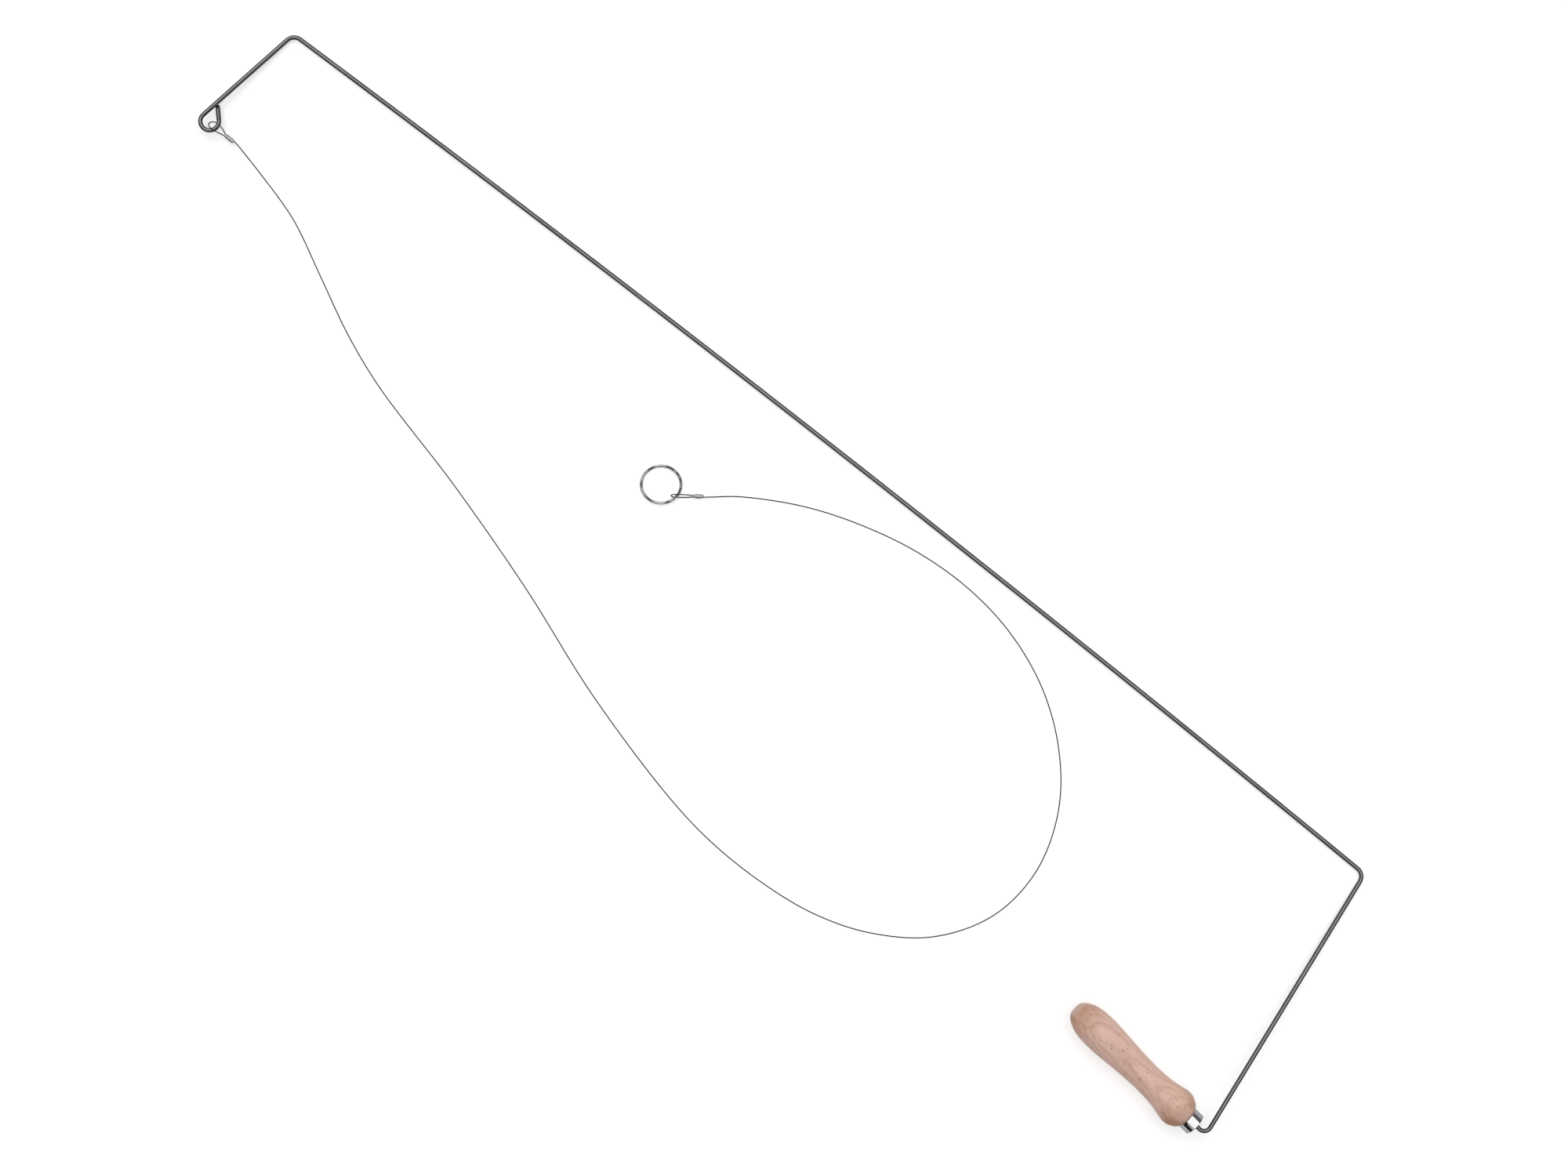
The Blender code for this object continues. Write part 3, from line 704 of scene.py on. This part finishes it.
def rod_line():
    """The rod's centreline from the end of its tang to its cut end at the eye."""
    tang_end = FERRULE_FRONT - HANDLE_AXIS * (FERRULE_LENGTH + TANG_DEPTH)
    rod = long_rod()
    handle_bend = rounded_corner(FERRULE_FRONT, HANDLE_BEND, CORNER_B, HANDLE_BEND_RADIUS,
                                 BEND_STEPS)
    corner_b = rounded_corner(HANDLE_BEND, CORNER_B, rod[-2], CORNER_RADIUS, BEND_STEPS)
    corner_a = rounded_corner(rod[1], rod[0], SHORT_ARM, CORNER_RADIUS, BEND_STEPS)
    eye = eye_points(BOWL_STEPS, LEG_STEPS)
    line = [tang_end] + straight(tang_end, handle_bend[0], TANG_STEPS) + handle_bend
    line += straight(handle_bend[-1], corner_b[0], LONG_ARM_STEPS) + corner_b
    line += list(reversed(rod[1:-1])) + corner_a
    line += straight(corner_a[-1], eye[0], SHORT_ARM_STEPS) + eye
    chamfer_start = line[-1] + (line[-2] - line[-1]).normalized() * ROD_END_CHAMFER
    line.insert(-1, chamfer_start)
    return [BOW_PLACE @ point for point in line]


def turn_at(line):
    """How sharply the line turns at each point, in radians a metre, smoothed a little."""
    turns = [0.0]
    for a, b, c in zip(line, line[1:], line[2:]):
        turns.append((b - a).angle(c - b) / ((c - a).length / 2))
    turns.append(0.0)
    smoothed = []
    for i in range(len(turns)):
        near = turns[max(0, i - 2):i + 3]
        smoothed.append(sum(near) / len(near))
    return smoothed


def make_rod():
    line = rod_line()
    first = (line[1] - line[0]).cross(BOW_PLACE.to_3x3() @ UP)
    turns = turn_at(line)

    def section(i, length):
        flat = ROD_OVALITY * min(1.0, turns[i] * CORNER_RADIUS)
        radius = ROD_RADIUS * (ROD_END_SHARE if i in (0, len(line) - 1) else 1.0)
        points = []
        for j in range(ROD_SIDES):
            angle = 2 * math.pi * j / ROD_SIDES
            across = radius * (1 - flat) * math.cos(angle)
            points.append((across, radius * (1 + flat) * math.sin(angle)))
        return points

    rod = swept("steel_rod", line, carried_sides(line, first), section, rod_steel())
    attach(rod, "bow")
    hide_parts("bow_rod")


# The handle and its ferrule

def handle_place():
    butt = FERRULE_FRONT - HANDLE_AXIS * (HANDLE_LENGTH + FERRULE_LENGTH)
    turn = HANDLE_AXIS.to_track_quat("Z", "Y").to_matrix().to_4x4()
    return BOW_PLACE @ Matrix.Translation(butt) @ turn


# The turned outline as (radius, height), from the shoulder to the butt.
HANDLE_SHAPE = [
    (0.0088, 0.1173),
    (0.0104, 0.1162),
    (0.0119, 0.1147),
    (0.0133, 0.1125),
    (0.0144, 0.1101),
    (0.01495, 0.1078),
    (0.0151, 0.1056),
    (0.0148, 0.1029),
    (0.0142, 0.1003),
    (0.0132, 0.0957),
    (0.0124, 0.0907),
    (0.0119, 0.0857),
    (0.01155, 0.0795),
    (0.0115, 0.0735),
    (0.0117, 0.0660),
    (0.0122, 0.0570),
    (0.0129, 0.0480),
    (0.0136, 0.0395),
    (0.0141, 0.0325),
    (0.0143, 0.0260),
    (0.0142, 0.0210),
    (0.0139, 0.0168),
    (0.0132, 0.0128),
    (0.0122, 0.0092),
    (0.0107, 0.0058),
    (0.0088, 0.0027),
    (0.0070, 0.0008),
    (0.0058, 0.0),
]

# The butt's flat face, and the dimple that the lathe's centre left in it.
BUTT_SHAPE = [
    (0.0040, 0.0),
    (0.0011, 0.0),
    (0.0008, 0.00012),
    (0.0, 0.0007),
]


def make_handle(place):
    spigot_end = HANDLE_LENGTH + SPIGOT_LENGTH
    bore = ROD_RADIUS + TANG_CLEARANCE
    bore_end = HANDLE_LENGTH - TANG_DEPTH - TANG_END_CLEARANCE
    outside = smooth_line([(r, 0.0, z) for r, z in HANDLE_SHAPE], OUTLINE_FINENESS)
    profile = [
        (0.0, bore_end),
        (bore, bore_end),
        (bore, spigot_end - SPIGOT_CHAMFER),
        (bore + SPIGOT_CHAMFER, spigot_end),
        (SPIGOT_RADIUS, spigot_end),
        (SPIGOT_RADIUS, HANDLE_LENGTH + SHOULDER_STEP),
    ]
    profile += [(point.x, point.z) for point in outside]
    profile += BUTT_SHAPE
    handle = turned("beech_handle", profile, TURNED_SIDES, beech(), place, 30)
    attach(handle, "bow")
    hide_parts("handle")


def rim(radius, height, size, start, steps):
    """A quarter round of a profile, from the bearing start onwards, clockwise."""
    points = []
    for i in range(steps + 1):
        angle = start - math.radians(90) * i / steps
        points.append((radius + size * math.cos(angle), height + size * math.sin(angle)))
    return points


def make_ferrule(place):
    back = HANDLE_LENGTH + FERRULE_SEAT
    front = HANDLE_LENGTH + FERRULE_LENGTH
    inside = FERRULE_RADIUS - FERRULE_WALL
    half_wall = FERRULE_WALL / 2
    bead = half_wall + BEAD_SWELL
    middle = FERRULE_RADIUS - half_wall
    neck = front - BEAD_NECK * bead
    profile = [(inside, back), (inside, neck)]
    profile += rim(middle, front - bead, bead, math.radians(180), BEAD_STEPS)
    profile += rim(middle, front - bead, bead, math.radians(90), BEAD_STEPS)[1:]
    profile += [(FERRULE_RADIUS, neck)]
    profile += [(FERRULE_RADIUS - inward, back + forward) for inward, forward in FERRULE_BACK_EDGE]
    profile += [(inside, back)]
    ferrule = turned("chrome_ferrule", profile, TURNED_SIDES, ferrule_chrome(), place, 50)
    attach(ferrule, "bow")
    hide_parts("ferrule")


# The cutting wire and its sleeves

def strand_outline():
    """(bearing, radius, groove) for points round six wires laid about a seventh."""
    wire = WIRE_RADIUS / 3
    found = []
    for strand in range(STRAND_COUNT):
        for degrees, groove in STRAND_OUTLINE:
            away = math.radians(degrees)
            aside = 2 * wire * math.sin(away)
            reach = 2 * wire * math.cos(away) + math.sqrt(wire ** 2 - aside ** 2 + 1e-12)
            found.append((2 * math.pi * strand / STRAND_COUNT + away, reach, groove))
    return found


def make_wire(with_pieces):
    line = evenly(smooth_line(WIRE_ROUTE, ROUTE_FINENESS), WIRE_STEP)
    outline = strand_outline()

    def section(i, length):
        twist = 2 * math.pi * length / STRAND_LAY
        return [(reach * math.cos(bearing + twist), reach * math.sin(bearing + twist))
                for bearing, reach, groove in outline]

    sides = carried_sides(line, Vector((0.0, 1.0, 0.0)))
    wire = swept("stranded_wire", line, sides, section, wire_steel(), 50)
    grooves = wire.data.attributes.new("groove", "FLOAT", "POINT")
    for i, value in enumerate(grooves.data):
        value.value = outline[i % len(outline)][2]
    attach(wire, "wire")
    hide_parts("cutting_wire")


def pressed(share):
    """How far the crimping tool pressed the sleeve in, at a share of its length."""
    return sum(math.exp(-((share - bite) / BITE_WIDTH) ** 2) for bite in BITES)


def sleeve_ring(radius_x, radius_y, offset):
    """An outline round the sleeve, its two halves moved apart by the offset."""
    points = []
    for j in range(SLEEVE_SIDES):
        angle = 2 * math.pi * (j + 0.5) / SLEEVE_SIDES
        side = math.copysign(offset, math.cos(angle))
        points.append((side + radius_x * math.cos(angle), radius_y * math.sin(angle)))
    return points


def sleeve_rows(length):
    """The sleeve's outlines, out along the outside and back through the bore.

    Each is a share of the length, its points, and how far the tool pressed there.
    """
    rows = []
    for i in range(SLEEVE_STEPS + 1):
        share = i / SLEEVE_STEPS
        bite = pressed(share)
        reach = SLEEVE_RADIUS * (1 - BITE_DEPTH * bite)
        spread = SLEEVE_RADIUS * (1 + BITE_SPREAD * bite)
        near_end = min(share, 1 - share) * length
        if near_end < SLEEVE_EDGE:
            round_off = SLEEVE_EDGE - math.sqrt(SLEEVE_EDGE ** 2 - (SLEEVE_EDGE - near_end) ** 2)
            reach -= round_off
            spread -= round_off
        rows.append((share, sleeve_ring(spread, reach, 0.0), bite))
    bore = WIRE_RADIUS + STRAND_GAP / 2
    inner = sleeve_ring(bore, bore, STRAND_PITCH / 2)
    rows.append((1.0, inner, 0.0))
    rows.append((0.0, inner, 0.0))
    return rows


def make_sleeve(name, node, length, middle, axis, across, material):
    """A crimped sleeve: pressed outside, and a bore that its two strands pass through."""
    rows = sleeve_rows(length)
    points = []
    presses = []
    for share, row, bite in rows:
        for x, y in row:
            points.append((x, y, (share - 0.5) * length))
            presses.append(bite * abs(y) / SLEEVE_RADIUS)
    faces = []
    for i in range(len(rows)):
        low = i * SLEEVE_SIDES
        high = ((i + 1) % len(rows)) * SLEEVE_SIDES
        for j in range(SLEEVE_SIDES):
            k = (j + 1) % SLEEVE_SIDES
            faces.append([low + j, low + k, high + k, high + j])
    sleeve = new_mesh(name, points, faces, material, sharp_degrees=50)
    attribute = sleeve.data.attributes.new("press", "FLOAT", "POINT")
    attribute.data.foreach_set("value", presses)
    axis = axis.normalized()
    across = (across - axis * across.dot(axis)).normalized()
    basis = Matrix((across, axis.cross(across), axis)).transposed().to_4x4()
    sleeve.matrix_world = Matrix.Translation(middle) @ basis
    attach(sleeve, "wire")
    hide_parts(node)
    return sleeve


def make_sleeves():
    aluminium = sleeve_aluminium()
    at_eye = make_sleeve("crimp_at_eye", "eye_sleeve", EYE_SLEEVE_LENGTH, EYE_SLEEVE_MIDDLE,
                         EYE_SLEEVE_AXIS, EYE_SLEEVE_ACROSS, aluminium)
    at_ring = make_sleeve("crimp_at_ring", "ring_sleeve", RING_SLEEVE_LENGTH,
                          RING_SLEEVE_MIDDLE, RING_SLEEVE_AXIS, RING_SLEEVE_ACROSS, aluminium)
    return [at_eye, at_ring]


# The split ring

def ring_outline(parameter, height):
    return Vector((RING_SEMI_AXES[0] * math.cos(parameter),
                   RING_SEMI_AXES[1] * math.sin(parameter), height))


def ring_parameter(bearing):
    """The ellipse's parameter for a bearing from its middle, against its long axis."""
    return math.atan2(math.sin(bearing) / RING_SEMI_AXES[1], math.cos(bearing) / RING_SEMI_AXES[0])


def ring_place():
    """The ring's own frame: its middle, level but for the tilt that the loop gives it."""
    reach = ring_outline(ring_parameter(RING_HINGE_BEARING - RING_MAJOR), 0.0).length
    towards = direction(RING_HINGE_BEARING)
    tilt = Matrix.Rotation(RING_TILT, 4, towards.cross(UP))
    middle = RING_HINGE - tilt.to_3x3() @ towards * reach
    return Matrix.Translation(middle) @ tilt @ Matrix.Rotation(RING_MAJOR, 4, "Z")


def flat_wire_section():
    """The outline of round wire that was rolled flat: an ellipse."""
    points = []
    for j in range(RING_WIRE_SIDES):
        angle = 2 * math.pi * j / RING_WIRE_SIDES
        points.append((math.cos(angle) * RING_WIRE_WIDTH / 2,
                       math.sin(angle) * RING_WIRE_HEIGHT / 2))
    return points


def coil_roll(bearing):
    """The lean of the flat wire at a bearing: a little all round, and more at its kinks."""
    lean = COIL_LEAN * math.sin(2 * bearing + COIL_LEAN_PHASE)
    for kink, size in COIL_KINKS:
        off = math.remainder(bearing - math.radians(kink), 2 * math.pi)
        lean += math.radians(size) * math.exp(-(off / KINK_WIDTH) ** 2)
    return lean


def coil_line():
    """The coil's centreline, nearly two turns with a step up between them, and its bearings."""
    rise = RING_WIRE_HEIGHT + RING_COIL_GAP
    turn = 2 * math.pi
    end = COIL_END - 2 * turn
    line = []
    bearings = []
    for i in range(RING_STEPS + 1):
        bearing = COIL_START + (end - COIL_START) * i / RING_STEPS
        climb = (STEP_START - turn - bearing) / (STEP_START - STEP_END)
        climb = min(1.0, max(0.0, climb))
        height = rise * (climb * climb * (3 - 2 * climb) - 0.5)
        line.append(ring_outline(bearing - RING_MAJOR, height))
        bearings.append(bearing)
    return line, bearings


def make_ring():
    line, bearings = coil_line()
    sides = []
    for tangent, bearing in zip(tangents(line), bearings):
        side = Matrix.Rotation(coil_roll(bearing), 3, tangent) @ UP.cross(tangent)
        sides.append((side - tangent * side.dot(tangent)).normalized())
    section_points = flat_wire_section()

    def section(i, length):
        return section_points

    ring = swept("split_ring_coil", line, sides, section, ring_nickel(), 45)
    ring.matrix_world = ring_place()
    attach(ring, "ring")
    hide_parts("split_ring")
    return ring


# The camera, the floor and the light

def make_camera():
    camera = bpy.data.objects.new("camera", bpy.data.cameras.new("camera"))
    bpy.context.scene.collection.objects.link(camera)
    camera.location = CAMERA_PLACE
    camera.rotation_euler = (0.0, 0.0, CAMERA_TURN)
    camera.data.sensor_width = CAMERA_SENSOR
    camera.data.lens = CAMERA_LENS
    bpy.context.scene.camera = camera


def make_floor():
    """White paper that glows a little, so that it stays even under the lamps."""
    r = FLOOR_REACH
    mesh = bpy.data.meshes.new("floor")
    mesh.from_pydata([(-r, -r, 0), (r, -r, 0), (r, r, 0), (-r, r, 0)], [], [[0, 1, 2, 3]])
    paper = Shader("paper")
    paper.set(Base_Color=FLOOR_TONE, Roughness=FLOOR_ROUGHNESS, Specular_IOR_Level=0.0,
              Emission_Color=WHITE, Emission_Strength=FLOOR_GLOW)
    mesh.materials.append(paper.material)
    floor = bpy.data.objects.new("floor", mesh)
    bpy.context.scene.collection.objects.link(floor)
    floor.location.z = -FLOOR_DROP


def new_lamp(name, degrees, radiance, tilt, lean):
    """A round soft lamp, as wide as the angle, tilted from overhead to +Y and leaning to -X."""
    lamp = bpy.data.lights.new(name, "SUN")
    lamp.angle = math.radians(degrees)
    lamp.energy = radiance * math.pi * math.sin(lamp.angle / 2) ** 2
    light = bpy.data.objects.new(name, lamp)
    bpy.context.scene.collection.objects.link(light)
    light.rotation_euler = (-math.radians(tilt), -math.radians(lean), 0.0)


def make_room():
    """A dim room, brighter towards +Y. The camera itself sees plain white past the floor."""
    world = bpy.data.worlds.new("room")
    bpy.context.scene.world = world
    world.use_nodes = True
    nodes = world.node_tree.nodes
    links = world.node_tree.links
    facing = nodes.new("ShaderNodeSeparateXYZ")
    links.new(nodes.new("ShaderNodeTexCoord").outputs["Generated"], facing.inputs[0])
    side = nodes.new("ShaderNodeMapRange")
    links.new(facing.outputs["Y"], side.inputs["Value"])
    side.inputs["From Min"].default_value, side.inputs["To Min"].default_value = ROOM_FROM
    side.inputs["From Max"].default_value, side.inputs["To Max"].default_value = ROOM_TO
    mix = nodes.new("ShaderNodeMix")
    mix.data_type = "RGBA"
    links.new(nodes.new("ShaderNodeLightPath").outputs["Is Camera Ray"], mix.inputs[0])
    links.new(side.outputs["Result"], mix.inputs[6])
    mix.inputs[7].default_value = WHITE
    links.new(mix.outputs[2], nodes["Background"].inputs["Color"])


make_camera()
sleeves = make_sleeves()
make_wire(sleeves + [make_ring()])
make_rod()
handle_frame = handle_place()
make_handle(handle_frame)
make_ferrule(handle_frame)
make_floor()
for lamp_values in LAMPS:
    new_lamp(*lamp_values)
make_room()
bpy.context.scene.view_settings.view_transform = "Standard"
